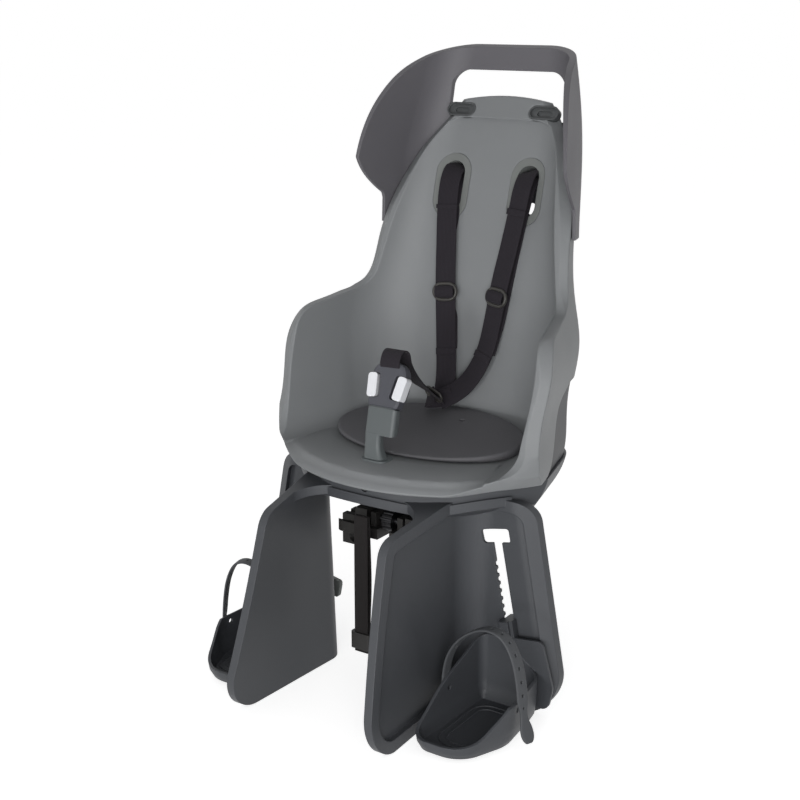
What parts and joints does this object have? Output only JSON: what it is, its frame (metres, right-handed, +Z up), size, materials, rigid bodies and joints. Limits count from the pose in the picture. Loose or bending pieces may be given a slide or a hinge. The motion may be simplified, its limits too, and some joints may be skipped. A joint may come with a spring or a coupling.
{
  "type": "rear child bicycle seat",
  "caption": "Rear child bicycle seat for a luggage rack: double-walled bucket with head wing and carry handle, harness, pad, leg guards and height-adjustable footrests.",
  "frame": {"origin": "centre of the rack pad's underside, between the two rack tubes", "axes": "+Z up, -Y the way the child faces, +X to the right as seen from the front"},
  "size_m": [0.4848, 0.4879, 0.79],
  "materials": {
    "front_shell": "fine grained satin",
    "rear_shell": "fine grained satin",
    "wing": "fine grained satin",
    "frame": "fine grained satin",
    "guide": "satin",
    "socket": "satin",
    "pad": "closed foam with fine leather grain",
    "post": "satin",
    "buckle": "satin",
    "button": "semi-gloss",
    "webbing": "ribbed polyester weave",
    "bracket": "satin",
    "clip": "satin",
    "footrest": "fine grained satin",
    "strap_rubber": "matt rubber",
    "steel": "zinc plated"
  },
  "bodies": {
    "seat": {"left_harness_guide": "guide", "right_harness_guide": "guide", "left_crown_socket": "socket", "right_crown_socket": "socket", "seat_pad": "pad", "crotch_post": "post", "harness_buckle": "buckle", "left_shoulder_strap": "webbing", "right_shoulder_strap": "webbing", "centre_strap": "webbing", "bracket_bolts": "steel", "housing_screws": "steel", "rack_bracket": "bracket", "safety_strap": "webbing", "left_harness_bar": "frame", "right_harness_bar": "frame", "base_frame": "frame", "head_wing": "wing", "rear_shell": "rear_shell", "seat_shell": "front_shell"},
    "left_strap_adjuster": {"left_strap_adjuster": "buckle"},
    "right_strap_adjuster": {"right_strap_adjuster": "buckle"},
    "left_release_button": {"left_release_button": "button"},
    "right_release_button": {"right_release_button": "button"},
    "left_rack_jaw": {"left_rack_jaw": "bracket"},
    "right_rack_jaw": {"right_rack_jaw": "bracket"},
    "clamp_spindle": {"clamp_spindle": "steel"},
    "left_footrest": {"left_footrest": "footrest", "left_foot_strap": "strap_rubber"},
    "right_footrest": {"right_footrest": "footrest", "right_foot_strap": "strap_rubber"},
    "left_footrest_clip": {"left_footrest_clip": "clip"},
    "right_footrest_clip": {"right_footrest_clip": "clip"},
    "safety_buckle": {"safety_buckle": "bracket"}
  },
  "joints": [
    {"name": "left_footrest_height", "type": "slide", "parent": "seat", "child": "left_footrest", "axis": [0.1961, 0, 0.9806], "range_m": [0, 0.1]},
    {"name": "left_clip_turn", "type": "hinge", "parent": "left_footrest", "child": "left_footrest_clip", "pos_m": [-0.164, -0.0106, -0.095], "axis": [0, -1, 0], "range_deg": [0, 18], "stiffness_Nm_per_rad": 0.4},
    {"name": "left_button_press", "type": "slide", "parent": "seat", "child": "left_release_button", "axis": [1, 0, 0], "range_m": [0, 0.003], "stiffness_N_per_m": 900},
    {"name": "left_adjuster_slide", "type": "slide", "parent": "seat", "child": "left_strap_adjuster", "axis": [-0.1028, 0.1234, 0.987], "range_m": [-0.06, 0.005]},
    {"name": "left_jaw_slide", "type": "slide", "parent": "seat", "child": "left_rack_jaw", "axis": [-1, 0, 0], "range_m": [0, 0.0131]},
    {"name": "right_footrest_height", "type": "slide", "parent": "seat", "child": "right_footrest", "axis": [-0.1961, 0, 0.9806], "range_m": [0, 0.1]},
    {"name": "right_clip_turn", "type": "hinge", "parent": "right_footrest", "child": "right_footrest_clip", "pos_m": [0.164, -0.0106, -0.095], "axis": [0, 1, 0], "range_deg": [0, 18], "stiffness_Nm_per_rad": 0.4},
    {"name": "right_button_press", "type": "slide", "parent": "seat", "child": "right_release_button", "axis": [-1, 0, 0], "range_m": [0, 0.003], "stiffness_N_per_m": 900},
    {"name": "right_adjuster_slide", "type": "slide", "parent": "seat", "child": "right_strap_adjuster", "axis": [0.107, 0.1391, 0.9845], "range_m": [-0.06, 0.005]},
    {"name": "right_jaw_slide", "type": "slide", "parent": "seat", "child": "right_rack_jaw", "axis": [1, 0, 0], "range_m": [0, 0.0131]},
    {"name": "spindle_turn", "type": "hinge", "parent": "seat", "child": "clamp_spindle", "pos_m": [0, -0.048, 0.022], "axis": [1, 0, 0], "range_deg": [0, 1170]},
    {"name": "safety_buckle_slide", "type": "slide", "parent": "seat", "child": "safety_buckle", "axis": [0, 0, 1], "range_m": [0, 0.06]}
  ],
  "couplings": [
    {"joint": "left_jaw_slide", "follows": "spindle_turn", "m_per_rad": 0.00063662},
    {"joint": "right_jaw_slide", "follows": "spindle_turn", "m_per_rad": 0.00063662}
  ]
}
